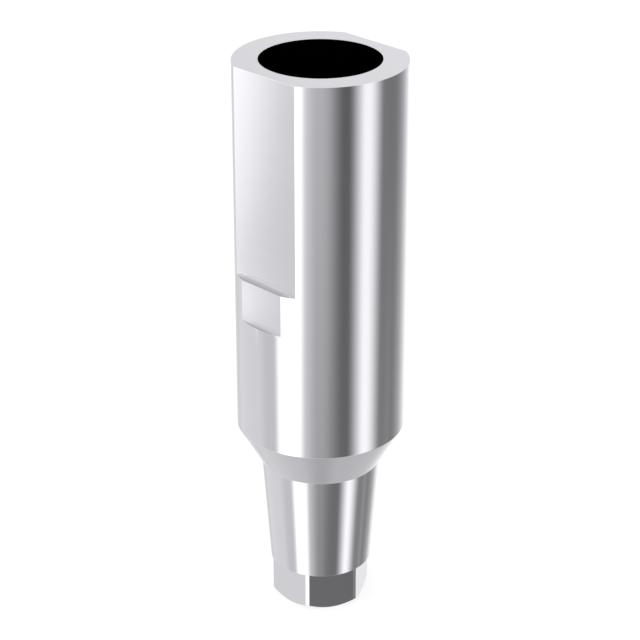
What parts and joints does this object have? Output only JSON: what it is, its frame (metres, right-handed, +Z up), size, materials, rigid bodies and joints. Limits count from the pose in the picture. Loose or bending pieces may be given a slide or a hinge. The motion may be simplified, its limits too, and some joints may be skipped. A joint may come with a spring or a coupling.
{
  "type": "dental scan body",
  "caption": "Upright turned metal scan post for a dental implant, with milled scan flats, a conical seat and a hexagon below, and its retaining screw inside the open channel.",
  "frame": {"origin": "on the axis, in the end face of the hexagon, which is the lowest point", "axes": "+Z up along the axis towards the open mouth; -Y out of the front scan flat, the one with the short flat below it"},
  "size_m": [0.0048, 0.0048, 0.0163],
  "materials": {
    "scan_body": "satin polished titanium alloy, turned, with milled flats",
    "retaining_screw": "turned titanium alloy, bare"
  },
  "bodies": {
    "scan_post": {"scan_body": "scan_body"},
    "screw": {"retaining_screw": "retaining_screw"}
  },
  "joints": [
    {"name": "screw_travel", "type": "slide", "parent": "scan_post", "child": "screw", "axis": [0, 0, -1], "range_m": [0, 0.0032]}
  ]
}
